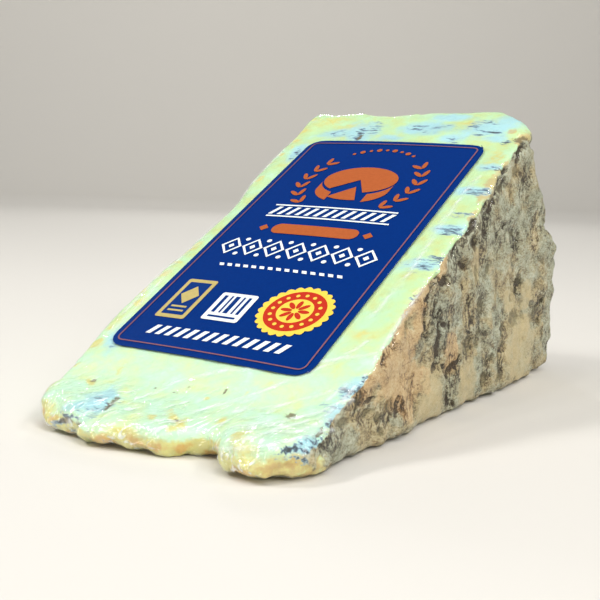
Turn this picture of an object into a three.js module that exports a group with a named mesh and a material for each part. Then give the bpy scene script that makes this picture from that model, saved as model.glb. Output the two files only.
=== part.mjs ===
import * as THREE from "three";
import { mergeVertices } from "three/addons/utils/BufferGeometryUtils.js";
import { ImprovedNoise } from "three/addons/math/ImprovedNoise.js";

// A film-wrapped wedge of blue cheese with a label, in millimetres, +Z up.
// It lies on one cut face. Its thin edge points to -Y and its outer rind to +Y.
// The flat end of the wheel, which is rind too, is the side at +X.

// Driving dimensions of the wedge, before it is centred on its box
const wheelRadius = 106;
const sliceAngle = THREE.MathUtils.degToRad(30.34);
const sliceThickness = 50.5;
const halfThickness = sliceThickness / 2;

// Rounded edges
const cutEdgeRadius = 2;
const backEdgeRadius = 3;
const slumpedCornerRadius = 14;
const slumpStartHeight = 23;
const slumpEndHeight = 37;
const noseCornerRadius = 6;
const baseEdgeRadius = 1.6;
const heelEdgeRadius = 3.5;
const heelLength = 16;

// The blunt nose, thicker than the sharp wedge, with a stretch that is lifted off the board
const noseSetback = 3;
const noseThickening = 2.1;
const noseThickeningReach = 16;
const noseLift = 0.9;
const noseLiftReach = 6;
const notchAt = 8.2;
const notchWidth = 3.4;
const notchDepth = 1.2;
const notchLift = 1.2;
const noseBlend = 2.4;
const lumpSquareness = 4;
const noseLumps = [
  { centre: new THREE.Vector3(-16.4, 7.8, 3.3), radii: new THREE.Vector3(6.4, 5.2, 2.6) },
  { centre: new THREE.Vector3(-9.2, 4.4, 1.9), radii: new THREE.Vector3(4.8, 5.6, 2.5) },
  { centre: new THREE.Vector3(0.2, 5.2, 2), radii: new THREE.Vector3(5.8, 5.4, 2.7) },
  { centre: new THREE.Vector3(18, 5.6, 2.4), radii: new THREE.Vector3(7.4, 8.2, 3.6) },
];

// Swelling and relief of the faces
const paleSideBulge = 1.2;
const paleSideBulgeStart = 8;
const paleSideBulgeEnd = 40;
const paleSideSwells = [
  { height: 1.9, at: 28, width: 14 },
  { height: 1.1, at: 90, width: 11 },
];
const slopeWave = 0.4;
const slopeWaveLength = 13;
const rindWave = 0.55;
const rindWaveLength = 22;
const cragDepth = 0.75;
const cragWidth = 6;
const cragLength = 15;
const cragSteepness = 3;
// Slices of the noise that each face takes, so that no two are alike
const slopeSlice = 4.5;
const paleSlice = 2.7;
const rindSideSlice = 1.1;
const backSlice = 5.9;
const cragSliceStep = 7.3;

// The label, on the upper cut face: its near left corner is measured from the thin edge
const labelWidth = 38.7;
const labelHeight = 70;
const labelCornerX = -23;
const labelCornerUp = 22.1;
const labelTurn = THREE.MathUtils.degToRad(-2.44);
const labelCornerRadius = 3;
const labelThickness = 0.3;
const labelGap = 0.32;
const labelSeat = 0.35;
const labelBow = 0.3;
const labelMargin = 4;

// Mesh density: cells over the faces, and the least share of a wall's rows on each of its edges
const cellsAcross = 24;
const cellsAlong = 46;
const cellsAround = 20;
const cellsRoundCorner = 4;
const turnShare = 0.18;
const labelCells = 10;
const labelCornerSteps = 4;
const labelStraightSteps = 16;

// The surface is looked for from points this far inside the sharp wedge
const rayInset = 3;
const leastDepth = 1;
const searchReach = 20;
const searchSteps = 30;
const wedgeHeart = new THREE.Vector3(0, 66, 17);

const noise = new ImprovedNoise();

function smoothStep(low, high, value) {
  return THREE.MathUtils.smoothstep(value, low, high);
}

// A smooth hump of height 1
function bell(value, centre, width) {
  const offset = (value - centre) / width;
  return Math.exp(-offset * offset);
}

// The larger of two distances, with a fillet where both faces meet
function filletedMax(a, b, radius) {
  const corner = Math.hypot(Math.max(a + radius, 0), Math.max(b + radius, 0));
  return Math.min(-radius, Math.max(a, b)) + corner;
}

// The smaller of two distances, with the joint filled in softly
function blendedMin(a, b, reach) {
  const overlap = Math.max(reach - Math.abs(a - b), 0) / reach;
  return Math.min(a, b) - overlap * overlap * reach * 0.25;
}

// A lump that is round from above and squarer from the side
function lumpDistance(point, { centre, radii }) {
  const scaled = point.clone().sub(centre).divide(radii);
  const flat = Math.hypot(scaled.x, scaled.y) ** lumpSquareness;
  const size = (flat + Math.abs(scaled.z) ** lumpSquareness) ** (1 / lumpSquareness);
  return (size - 1) * Math.min(radii.x, radii.y, radii.z);
}

// Position in the label's own axes, from the label's centre
function toLabel(x, up) {
  const dx = x - labelCornerX;
  const dUp = up - labelCornerUp;
  const across = Math.cos(labelTurn) * dx + Math.sin(labelTurn) * dUp;
  const along = -Math.sin(labelTurn) * dx + Math.cos(labelTurn) * dUp;
  return [across - labelWidth / 2, along - labelHeight / 2];
}

function fromLabel(across, along) {
  const a = across + labelWidth / 2;
  const b = along + labelHeight / 2;
  const x = labelCornerX + Math.cos(labelTurn) * a - Math.sin(labelTurn) * b;
  const up = labelCornerUp + Math.sin(labelTurn) * a + Math.cos(labelTurn) * b;
  return [x, up];
}

// Height of the upper cut face above its plane: waves that give way to a seat for the label,
// and a thicker nose
function slopeRelief(x, up) {
  const [across, along] = toLabel(x, up);
  const outside = Math.hypot(
    Math.max(Math.abs(across) - labelWidth / 2, 0),
    Math.max(Math.abs(along) - labelHeight / 2, 0),
  );
  const free = smoothStep(0, labelMargin, outside);
  const seat = labelBow * Math.cos((Math.PI * across) / labelWidth) - labelSeat;
  const wave = slopeWave * 2 * noise.noise(x / slopeWaveLength, up / slopeWaveLength, slopeSlice);
  const thickening = noseThickening * (1 - smoothStep(0, noseThickeningReach, up));
  return seat * (1 - free) + wave * free + thickening;
}

// Crusty rind: broad waves and long cracks that run up the wedge
function rindRelief(along, upward, slice) {
  const broad = noise.noise(along / rindWaveLength, upward / rindWaveLength, slice) * 2 * rindWave;
  const crag = Math.abs(noise.noise(along / cragWidth, upward / cragLength, slice + cragSliceStep));
  return broad + Math.min(crag * cragSteepness, 1) * cragDepth - cragDepth;
}

// The pale side opposite the rind bulges, most near the nose and again at the back
function paleSideRelief(radius, upward) {
  let relief = paleSideBulge * smoothStep(paleSideBulgeStart, paleSideBulgeEnd, radius);
  relief += rindWave * 2 * noise.noise(radius / rindWaveLength, upward / rindWaveLength, paleSlice);
  for (const { height, at, width } of paleSideSwells) {
    relief += height * bell(radius, at, width);
  }
  return relief;
}

// Nearness to the notch in the nose, from 0 to 1
function notch(x) {
  return bell(x, notchAt, notchWidth);
}

// Outline of the slice from above, with no top or bottom
function planDistance(point) {
  const radius = Math.hypot(point.y, point.z);
  const arc = Math.atan2(point.z, point.y) * wheelRadius;
  const rindSide = point.x - halfThickness - rindRelief(point.y, point.z, rindSideSlice);
  const paleSide = -point.x - halfThickness - paleSideRelief(radius, point.z);
  const back = radius - wheelRadius - rindRelief(point.x, arc, backSlice);
  const nose = noseSetback + notchDepth * notch(point.x) - point.y;
  const slump = point.x > 0 ? smoothStep(slumpStartHeight, slumpEndHeight, point.z) : 0;
  const cornerRadius = backEdgeRadius + (slumpedCornerRadius - backEdgeRadius) * slump;
  const sides = Math.max(rindSide, paleSide);
  const noseAndSides = filletedMax(sides, nose, noseCornerRadius);
  return filletedMax(noseAndSides, back, cornerRadius);
}

// Height of the underside above the board, near the nose only
function undersideLift(point) {
  const reach = point.y - noseSetback;
  return (noseLift + notchLift * notch(point.x)) * (1 - smoothStep(0, noseLiftReach, reach));
}

// Signed distance to the wrapped wedge, negative inside
function wedgeDistance(point) {
  const up = point.y * Math.cos(sliceAngle) + point.z * Math.sin(sliceAngle);
  const aboveSlope = point.z * Math.cos(sliceAngle) - point.y * Math.sin(sliceAngle);
  const slope = aboveSlope - slopeRelief(point.x, up);
  const heel = smoothStep(wheelRadius - heelLength, wheelRadius, point.y);
  const baseRadius = baseEdgeRadius + (heelEdgeRadius - baseEdgeRadius) * heel;
  const topped = filletedMax(planDistance(point), slope, cutEdgeRadius);
  let distance = filletedMax(topped, undersideLift(point) - point.z, baseRadius);
  for (const lump of noseLumps) {
    distance = blendedMin(distance, lumpDistance(point, lump), noseBlend);
  }
  return Math.max(distance, -point.z);
}

// Place between a point inside the wedge and one outside it where a depth is reached
function crossing(inside, outside, depth) {
  const near = inside.clone();
  const far = outside.clone();
  const middle = new THREE.Vector3();
  for (let step = 0; step < searchSteps; step += 1) {
    middle.addVectors(near, far).multiplyScalar(0.5);
    if (wedgeDistance(middle) < -depth) {
      near.copy(middle);
    } else {
      far.copy(middle);
    }
  }
  return middle;
}

// Walks outward from an inner point until it meets the surface.
// A point that lies too near a slumped corner is first drawn towards the heart.
function findSurface(innerStart, direction) {
  const shallow = wedgeDistance(innerStart) > -leastDepth;
  const start = shallow ? crossing(wedgeHeart, innerStart, leastDepth) : innerStart;
  const end = start.clone().addScaledVector(direction, searchReach);
  return crossing(start, end, 0);
}

// Inner point at a place across the slice, a distance from the thin edge and an angle above the board
function innerPoint(x, radius, angle) {
  return new THREE.Vector3(x, radius * Math.cos(angle), radius * Math.sin(angle));
}

// Direction of growing angle at that place
function risingDirection(angle) {
  return new THREE.Vector3(0, -Math.sin(angle), Math.cos(angle));
}

// The upper face's edge, once round: each place has the heading in which its wall faces,
// as a number of quarter turns from the nose. A corner is a fan of headings from one place.
function wallColumns(innerHalf, innerStart, innerEnd) {
  const columns = [];
  const addCorner = (i, j, heading) => {
    for (let step = 0; step <= cellsRoundCorner; step += 1) {
      columns.push({ i, j, heading: heading + step / cellsRoundCorner });
    }
  };
  for (let i = 1; i < cellsAcross; i += 1) {
    columns.push({ i, j: 0, heading: 0 });
  }
  addCorner(cellsAcross, 0, 0);
  for (let j = 1; j < cellsAlong; j += 1) {
    columns.push({ i: cellsAcross, j, heading: 1 });
  }
  addCorner(cellsAcross, cellsAlong, 1);
  for (let i = cellsAcross - 1; i > 0; i -= 1) {
    columns.push({ i, j: cellsAlong, heading: 2 });
  }
  addCorner(0, cellsAlong, 2);
  for (let j = cellsAlong - 1; j > 0; j -= 1) {
    columns.push({ i: 0, j, heading: 3 });
  }
  addCorner(0, 0, 3);
  for (const column of columns) {
    column.x = innerHalf * (2 * (column.i / cellsAcross) - 1);
    column.radius = innerStart + (innerEnd - innerStart) * (column.j / cellsAlong);
  }
  return columns;
}

// One place on a wall: round the upper edge, down the wall and round the lower edge
function wallPoint(column, row) {
  const { x, radius, heading } = column;
  const insetAngle = Math.min(Math.asin(Math.min(rayInset / radius, 1)), sliceAngle / 2);
  const wallHeight = (sliceAngle - 2 * insetAngle) * radius;
  const turnLength = (rayInset * Math.PI) / 2;
  const share = Math.max(turnLength / (wallHeight + 2 * turnLength), turnShare);
  const straightShare = Math.max(1 - 2 * share, Number.EPSILON);
  const fraction = row / cellsAround;
  const down = wallHeight * THREE.MathUtils.clamp((fraction - share) / straightShare, 0, 1);
  const angle = sliceAngle - insetAngle - down / radius;
  const turnAbove = Math.max(1 - fraction / share, 0);
  const turnBelow = Math.max(1 - (1 - fraction) / share, 0);
  const turn = ((turnAbove - turnBelow) * Math.PI) / 2;
  const tangent = risingDirection(turn > 0 ? sliceAngle : 0);
  const away = -Math.cos((heading * Math.PI) / 2);
  const across = Math.sin((heading * Math.PI) / 2);
  const climb = away > 0 ? angle : 0;
  const outward = new THREE.Vector3(across, away * Math.cos(climb), away * Math.sin(climb));
  const direction = outward.multiplyScalar(Math.cos(turn)).addScaledVector(tangent, Math.sin(turn));
  return findSurface(innerPoint(x, radius, angle), direction.normalize());
}

// Joins vertices that coincide, and drops the triangles that this leaves without area
function closedGeometry(positions, indices) {
  const geometry = new THREE.BufferGeometry();
  geometry.setAttribute("position", new THREE.Float32BufferAttribute(positions, 3));
  geometry.setIndex(indices);
  const merged = mergeVertices(geometry, 1e-3);
  const corners = Array.from(merged.getIndex().array);
  const kept = [];
  for (let c = 0; c < corners.length; c += 3) {
    const triangle = corners.slice(c, c + 3);
    if (new Set(triangle).size === 3) {
      kept.push(...triangle);
    }
  }
  merged.setIndex(kept);
  merged.computeVertexNormals();
  return merged;
}

function wedgeGeometry() {
  const positions = [];
  const indices = [];
  const add = (point) => positions.push(point.x, point.y, point.z) / 3 - 1;
  const addQuad = (a, b, c, d) => indices.push(a, b, c, a, c, d);

  const innerHalf = halfThickness - rayInset;
  const innerStart = rayInset / Math.sin(sliceAngle / 2);
  const innerEnd = wheelRadius - rayInset;
  const columns = wallColumns(innerHalf, innerStart, innerEnd);

  // Upper cut face, whose edge is the top row of the walls
  const slope = [];
  for (let i = 0; i <= cellsAcross; i += 1) {
    slope.push([]);
    for (let j = 0; j <= cellsAlong; j += 1) {
      const x = innerHalf * (2 * (i / cellsAcross) - 1);
      const radius = innerStart + (innerEnd - innerStart) * (j / cellsAlong);
      const start = innerPoint(x, radius, sliceAngle - Math.asin(rayInset / radius));
      slope[i].push(add(findSurface(start, risingDirection(sliceAngle))));
    }
  }
  for (let i = 0; i < cellsAcross; i += 1) {
    for (let j = 0; j < cellsAlong; j += 1) {
      addQuad(slope[i][j], slope[i + 1][j], slope[i + 1][j + 1], slope[i][j + 1]);
    }
  }

  // Walls, down to a flat foot
  let above = columns.map((column) => slope[column.i][column.j]);
  for (let row = 1; row <= cellsAround; row += 1) {
    const below = columns.map((column) => {
      const point = wallPoint(column, row);
      if (row === cellsAround) {
        point.z = 0;
      }
      return add(point);
    });
    for (let c = 0; c < columns.length; c += 1) {
      const next = (c + 1) % columns.length;
      addQuad(above[c], below[c], below[next], above[next]);
    }
    above = below;
  }

  const footCentre = add(new THREE.Vector3(0, wheelRadius / 2, 0));
  for (let c = 0; c < columns.length; c += 1) {
    indices.push(above[c], footCentre, above[(c + 1) % columns.length]);
  }
  return closedGeometry(positions, indices);
}

// Rows of the label from end to end, with extra ones round its corners
function labelRows() {
  const straight = labelHeight / 2 - labelCornerRadius;
  const rows = [];
  for (let step = 0; step <= labelCornerSteps; step += 1) {
    const turn = (Math.PI / 2) * (step / labelCornerSteps);
    rows.push({
      along: -straight - labelCornerRadius * Math.cos(turn),
      half: labelWidth / 2 - labelCornerRadius * (1 - Math.sin(turn)),
    });
  }
  for (let step = 1; step < labelStraightSteps; step += 1) {
    rows.push({ along: straight * (2 * (step / labelStraightSteps) - 1), half: labelWidth / 2 });
  }
  const farRows = rows.slice(0, labelCornerSteps + 1).reverse();
  for (const row of farRows) {
    rows.push({ along: -row.along, half: row.half });
  }
  return rows;
}

// A point at a height over the upper cut face
function overSlope(x, up, height) {
  const lift = slopeRelief(x, up) + height;
  return innerPoint(x, up, sliceAngle).addScaledVector(risingDirection(sliceAngle), lift);
}

function labelGeometry() {
  const cells = labelCells;
  const positions = [];
  const indices = [];
  const add = (point) => positions.push(point.x, point.y, point.z) / 3 - 1;
  const addQuad = (a, b, c, d) => indices.push(a, b, c, a, c, d);
  const rows = labelRows();
  const lower = [];
  const upper = [];
  for (const { along, half } of rows) {
    const lowerRow = [];
    const upperRow = [];
    for (let i = 0; i <= cells; i += 1) {
      const [x, up] = fromLabel(half * (2 * (i / cells) - 1), along);
      lowerRow.push(add(overSlope(x, up, labelGap)));
      upperRow.push(add(overSlope(x, up, labelGap + labelThickness)));
    }
    lower.push(lowerRow);
    upper.push(upperRow);
  }
  const last = rows.length - 1;
  for (let r = 0; r < last; r += 1) {
    for (let i = 0; i < cells; i += 1) {
      addQuad(upper[r][i], upper[r][i + 1], upper[r + 1][i + 1], upper[r + 1][i]);
      addQuad(lower[r][i], lower[r + 1][i], lower[r + 1][i + 1], lower[r][i + 1]);
    }
    addQuad(lower[r][0], upper[r][0], upper[r + 1][0], lower[r + 1][0]);
    addQuad(lower[r][cells], lower[r + 1][cells], upper[r + 1][cells], upper[r][cells]);
  }
  for (let i = 0; i < cells; i += 1) {
    addQuad(lower[0][i], lower[0][i + 1], upper[0][i + 1], upper[0][i]);
    addQuad(lower[last][i], upper[last][i], upper[last][i + 1], lower[last][i + 1]);
  }
  return closedGeometry(positions, indices);
}

const wedge = new THREE.Mesh(
  wedgeGeometry(),
  new THREE.MeshStandardMaterial({ color: 0xe2e3b4, roughness: 0.35, metalness: 0 }),
);
wedge.name = "cheese_wedge";

const label = new THREE.Mesh(
  labelGeometry(),
  new THREE.MeshStandardMaterial({ color: 0x0b2a66, roughness: 0.4, metalness: 0 }),
);
label.name = "label";

// The origin is under the middle of the wedge, on the board
const box = new THREE.Box3().setFromBufferAttribute(wedge.geometry.getAttribute("position"));
const middle = box.getCenter(new THREE.Vector3());

const group = new THREE.Group();
group.add(wedge, label);
group.position.set(-middle.x, -middle.y, 0);

export default group;
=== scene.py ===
import math

import bmesh
import bpy
from mathutils import Matrix, Vector, noise
from mathutils.bvhtree import BVHTree


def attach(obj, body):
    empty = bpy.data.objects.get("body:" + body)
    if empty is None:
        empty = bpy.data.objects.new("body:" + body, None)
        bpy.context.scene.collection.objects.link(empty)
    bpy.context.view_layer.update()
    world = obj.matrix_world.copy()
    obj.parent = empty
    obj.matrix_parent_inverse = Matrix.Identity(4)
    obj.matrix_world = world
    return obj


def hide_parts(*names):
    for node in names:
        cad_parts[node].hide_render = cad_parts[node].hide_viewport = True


# A film-wrapped wedge of blue cheese with a paper label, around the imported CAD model
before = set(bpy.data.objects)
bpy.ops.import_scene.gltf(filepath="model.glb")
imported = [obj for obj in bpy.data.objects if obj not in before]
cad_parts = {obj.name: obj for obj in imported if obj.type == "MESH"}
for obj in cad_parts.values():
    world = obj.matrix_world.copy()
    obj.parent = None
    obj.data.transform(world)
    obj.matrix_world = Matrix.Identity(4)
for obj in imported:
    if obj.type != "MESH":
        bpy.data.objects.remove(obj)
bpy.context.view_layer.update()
scene = bpy.context.scene
mm = 0.001
print("frame loaded")

# The wedge as the CAD has it: x across the slice, y towards the outer rind, z up
wedge = {
    "apexY": -51.81,  # mm, the line that the wheel was cut from
    "sliceAngle": 30.34,  # degrees between the two cut faces
    "wheelRadius": 106.0,
    "rindX": 26.4,  # the flat end of the wheel
    "paleX": -24.1,  # the third cut face
}
sliceAngle = math.radians(wedge["sliceAngle"])
slopeUp = Vector((0, math.cos(sliceAngle), math.sin(sliceAngle)))
slopeNormal = Vector((0, -math.sin(sliceAngle), math.cos(sliceAngle)))
apex = Vector((0, wedge["apexY"], 0))


# Small helpers

def smoothStep(low, high, value):
    share = min(max((value - low) / (high - low), 0.0), 1.0)
    return share * share * (3 - 2 * share)


def linear(hexColour):
    channels = [int(hexColour[i:i + 2], 16) / 255 for i in (1, 3, 5)]
    return [c / 12.92 if c <= 0.04045 else ((c + 0.055) / 1.055) ** 2.4 for c in channels] + [1.0]


def addNode(tree, kind, inputs=None, **settings):
    node = tree.nodes.new("ShaderNode" + kind)
    for name, value in settings.items():
        setattr(node, name, value)
    for key, value in (inputs or {}).items():
        if isinstance(value, bpy.types.NodeSocket):
            tree.links.new(value, node.inputs[key])
        else:
            node.inputs[key].default_value = value
    return node


def newMaterial(name):
    material = bpy.data.materials.new(name)
    material.use_nodes = True
    material.node_tree.nodes.clear()
    return material, material.node_tree


def newPiece(name, bm):
    mesh = bpy.data.meshes.new(name)
    bm.to_mesh(mesh)
    bm.free()
    piece = bpy.data.objects.new(name, mesh)
    scene.collection.objects.link(piece)
    return piece


def cadCopy(node):
    bm = bmesh.new()
    bm.from_mesh(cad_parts[node].data)
    bmesh.ops.remove_doubles(bm, verts=bm.verts, dist=0.001 * mm)
    return bm


def voxelCopy(node, voxel):
    piece = newPiece(node + "_voxels", cadCopy(node))
    voxels = piece.modifiers.new("Voxels", "REMESH")
    voxels.mode = "VOXEL"
    voxels.voxel_size = voxel * mm
    bm = bmesh.new()
    bm.from_object(piece, bpy.context.evaluated_depsgraph_get())
    rough = piece.data
    bpy.data.objects.remove(piece)
    bpy.data.meshes.remove(rough)
    return bm


def refine(bm, wanted):
    edges = {edge for face in bm.faces if wanted(face.calc_center_median() / mm) for edge in face.edges}
    bmesh.ops.subdivide_edges(bm, edges=list(edges), cuts=1, use_grid_fill=True)


def relax(bm, rounds):
    for _ in range(rounds):
        bmesh.ops.smooth_vert(
            bm, verts=bm.verts, factor=0.5, use_axis_x=True, use_axis_y=True, use_axis_z=True
        )
    bm.normal_update()


# Smooth noise of a length in mm. Each use has its own slice of it
def wave(spot, length, slice=0.0):
    return noise.noise(Vector((spot.x / length + slice, spot.y / length, spot.z / length)))


def waves(spot, layers):
    return sum(height * wave(spot, length, slice) for height, length, slice in layers)


# How far a point lies inside each face, in mm
def underFaces(spot):
    out = spot - apex
    return {
        "slope": -out.dot(slopeNormal),
        "base": spot.z,
        "rind": wedge["rindX"] - spot.x,
        "pale": spot.x - wedge["paleX"],
        "back": wedge["wheelRadius"] - math.hypot(out.y, out.z),
    }


# Marks are drawn on flat faces and pressed into the relief along a slanting line
slant = {
    "endPlane": 0.2,  # mm over the flat end
    "end": (2.5, 0.016),  # mm along y for each mm of depth, and its growth with y
    "slope": (0.75, -1.33),  # mm along x and y
}


def pressed(spot, inside, onEnd=False):
    if onEnd:
        depth = wedge["rindX"] + slant["endPlane"] - spot.x
        along, growth = slant["end"]
        return spot.y - (along + growth * spot.y) * depth, spot.z
    acrossX, acrossY = slant["slope"]
    return spot.x + acrossX * inside["slope"], spot.y + acrossY * inside["slope"]


# Marks are listed ellipses: centre, half sizes and lean, in mm and degrees on a face
def markShare(marks, u, v, wobble, soft=0.3):
    share = 0.0
    for centreU, centreV, halfU, halfV, lean in marks:
        du, dv = u - centreU, v - centreV
        if abs(du) > 2 * max(halfU, halfV) or abs(dv) > 2 * max(halfU, halfV):
            continue
        turn = math.radians(lean)
        across = du * math.cos(turn) - dv * math.sin(turn)
        along = du * math.sin(turn) + dv * math.cos(turn)
        reach = math.hypot(across / halfU, along / halfV) + wobble
        share = max(share, smoothStep(1 + soft, 1 - soft, reach))
    return share


# Cheese: cut paste with blue veins, and a crusty natural rind on the end and the back

# Lengths and depths in mm. A wave is its height, its length and its slice of the noise
cheese = {
    "voxel": 0.72,
    "finer": (2.6, -36),  # finer within this of the flat end, and where y is less than this
    "relaxed": 5,  # rounds
    "underFilm": 0.14,
    "proud": 0.22,  # how far crumbs may stand over the CAD solid
    "foot": 0.1,  # lowest height
    "swells": ((0.12, 9.0, 1), (0.09, 1.5, 2)),
    "crumble": (0.8, 3.0),  # height and length, at the torn thin edge
    "crumbleSink": 0.2,
    "fineCrumble": (0.35, 2.3),  # share of that height, and how many times shorter
    "crumbleOnTop": 0.6,  # share that is taken off where the surface faces up
    "veinSheets": ((17, 11), (9, 41)),  # length and slice
    "veinBend": ((9, 4, 2), (2.6, 1.2, 22)),  # length, height and first slice
    "veinDepth": 0.35,
    "veinRough": (0.3, 1.2, 8),
    "speckDepth": 0.35,
    "rindTurn": (0.45, 0.72),  # the crust starts where the surface has turned this far outwards
    "rindFray": ((0.16, 2.6, 1), (0.1, 0.9, 4)),
    "tipLean": 0.36,  # how much further it has to turn at the thin edge
    "slumpsAbove": 36,
    "slumpFray": ((0.5, 2.2, 2),),
    "markReach": 3,  # how deep under the upper face its marks are drawn
    "fray": ((0.35, 2.4, 5), (0.25, 0.8, 6)),  # of the borders of those marks
    "veinFray": 0.8,
    "softVeins": 0.66,
    "veinSoft": 0.95,
    "hazeSoft": 0.85,
    "butterSoft": 0.9,
    "butterUpSlope": (-40, 0.6),  # beyond this y butter spots have this share
    "innerHaze": 0.6,
    "paleEdge": 0.9,
    "underPatches": (2.6, 3),  # length and slice
    "underButter": (1.1, 0.5),  # share, and how much the patches change it
    "rim": 0.6,
}
crust = {
    "plate": (2.9, 4.8),  # width and height of the dry plates between cracks
    "bend": (6, 9, 1.4, 2.4),  # lengths and heights of the waves that bend their outlines
    "crackShare": (0.13, 0.03),
    "crackParting": (9, 13),  # width and height of the areas that have cracks
    "crackDepth": 0.45,
    "pitDepth": 0.8,
    "oliveDepth": 0.3,
    "flute": (0.16, 2.0, 7.0),  # height, width and length
    "grain": (0.14, 0.8),  # height and length
    "knob": (0.46, 3.2),
    "knobSink": 0.3,
    "plateCalm": (0.7, 0.8),  # how much smoother cream plates are, and orange ones beside them
    "fray": ((0.28, 1.5, 2), (0.2, 0.7, 3)),
    "broadFray": ((0.4, 3.6, 6),),
    "creamFray": 0.6,
    "oliveFray": 1.8,
    "pitFray": 1.2,
    "pitSoft": 0.5,
    "tanSoft": 0.7,
    "crackSoft": 0.6,
    "edgeWave": ((2.0, 4, 9),),
    "ashWave": ((6, 9, 14),),
    "ashHigh": 0.75,
    "ashUnderTan": 0.8,  # share of the ash that tan places take away
    "peachOfTan": 0.2,
    "placedCracks": 0.6,
    "grownCracks": {"end": 0.25, "back": 0.7},
    "cracksOffCream": 0.9,
    "cracksAtFront": 0.3,
    "backCracks": (2.2, 19),  # length and slice
    "backCrackStretch": 3,
    # How far the upright corner stands out over the CAD solid: z, mm
    "cornerFacing": (0.862, 0.507, 0),
    "cornerRough": ((0.3, 3.0, 31),),
    "cornerSwell": (
        (0.0, 0.0), (4.0, 0.4), (7.0, 0.5), (12.0, 0.1), (17.0, 1.2), (21.0, 0.9), (23.8, 0.6),
        (25.5, 1.5), (28.5, 1.6), (31.0, 0.8), (32.4, 1.4), (34.0, 1.9), (37.6, 1.7), (40.6, 0.8),
        (42.5, 1.1), (46.0, 0.6), (48.0, 0.9), (53.0, 0.2),
    ),
}
# Where one thing passes into the next, from none to all of it
blends = {
    "endIn": (6, 4),  # mm in from the flat end
    "backIn": (7, 5),
    "footIn": (4.2, 3.2),
    "footUp": (2.5, 1.2),
    "footFront": (-46, -42),
    "tip": (-40, -46),  # y of the thin edge
    "nose": (-33, -45),
    "noseLow": (7.0, 3.2),
    "noseFoot": (4.5, 2.0),
    "under": (0.45, -0.1),  # upward part of the surface's direction
    "flat": (0.6, 0.9),
    "corner": (16, 8),
    "cornerTurn": (0.25, 0.75),
    "cornerApart": (0.3, 2.5),
    "crackParting": (-0.02, 0.32),
    "crackFront": (-44, -34),
    "backCracks": (0.42, 0.6),
    "edgeUnder": (4.5, 1.2),  # the orange band under the slope's edge
    "edgeTop": (-5, -15),
    "edgeFoot": (-41, -33),
    "ashUp": (15, 24),
    "vein": (0.13, 0.01),
    "veinPatchy": (-0.05, 0.3),
    "innerHaze": (0.3, 0.05),
    "hazePatchy": (-0.15, 0.2),
    "paleIn": (2.4, 0.6),
    "paleUnder": (3.4, 1.4),
    "palePatchy": (0.05, 0.35),
    "underPatchy": (-0.2, 0.5),
    "rimIn": (1.7, 0.3),
    "rimPatchy": (-0.3, 0.3),
    "rimUnder": (9, 2),
}
# Patches of the back, from noise: share, where the noise starts and ends, its length and slice
backPatches = {
    "peach": (1.0, 0.1, 0.4, 9, 5),
    "cream": (1.0, 0.18, 0.4, 11, 8),
    "ashAndShade": (1.0, 0.0, 0.35, 8, 12),
    "olive": (0.6, 0.3, 0.5, 4, 15),
}

# Marks on the flat end: y, z, half width, half height, lean. First where fine cracks run
crackAreas = [
    (2.0, 31.0, 5.0, 4.6, 20), (9.6, 32.4, 3.6, 5.0, 15), (-4.0, 26.0, 4.0, 5.0, 0),
    (15.4, 38.0, 2.6, 3.6, 25), (24.0, 44.6, 3.6, 2.6, 20), (-13.0, 19.0, 3.0, 5.0, 0),
    (-8.4, 14.0, 3.0, 5.0, 0), (-2.6, 8.0, 4.0, 2.4, 0), (-4.0, 17.0, 3.0, 5.0, 0),
    (3.6, 14.0, 2.4, 6.0, 0), (9.0, 16.0, 2.6, 5.0, 0), (13.0, 5.0, 2.4, 4.0, 0),
    (-3.6, 4.0, 2.0, 3.4, 0), (21.0, 8.6, 2.0, 6.0, 0), (-35.0, 7.0, 4.0, 2.8, 0),
    (-28.0, 4.4, 3.6, 2.0, 0), (28.0, 19.4, 3.6, 2.6, 0), (40.0, 14.0, 3.0, 3.4, 0),
    (24.6, 28.0, 3.0, 3.0, 0), (17.4, 29.8, 3.0, 3.4, 0), (-27.6, 14.4, 1.8, 2.6, 30),
    (-20.0, 6.5, 2.6, 3.6, 0), (-44.0, 4.6, 3.6, 2.0, 0), (7.0, 26.0, 3.0, 4.0, 0),
    (36.0, 30.0, 3.0, 5.0, 0), (28.0, 39.4, 3.0, 3.0, 0), (46.0, 7.2, 2.6, 4.0, 0),
]
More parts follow.
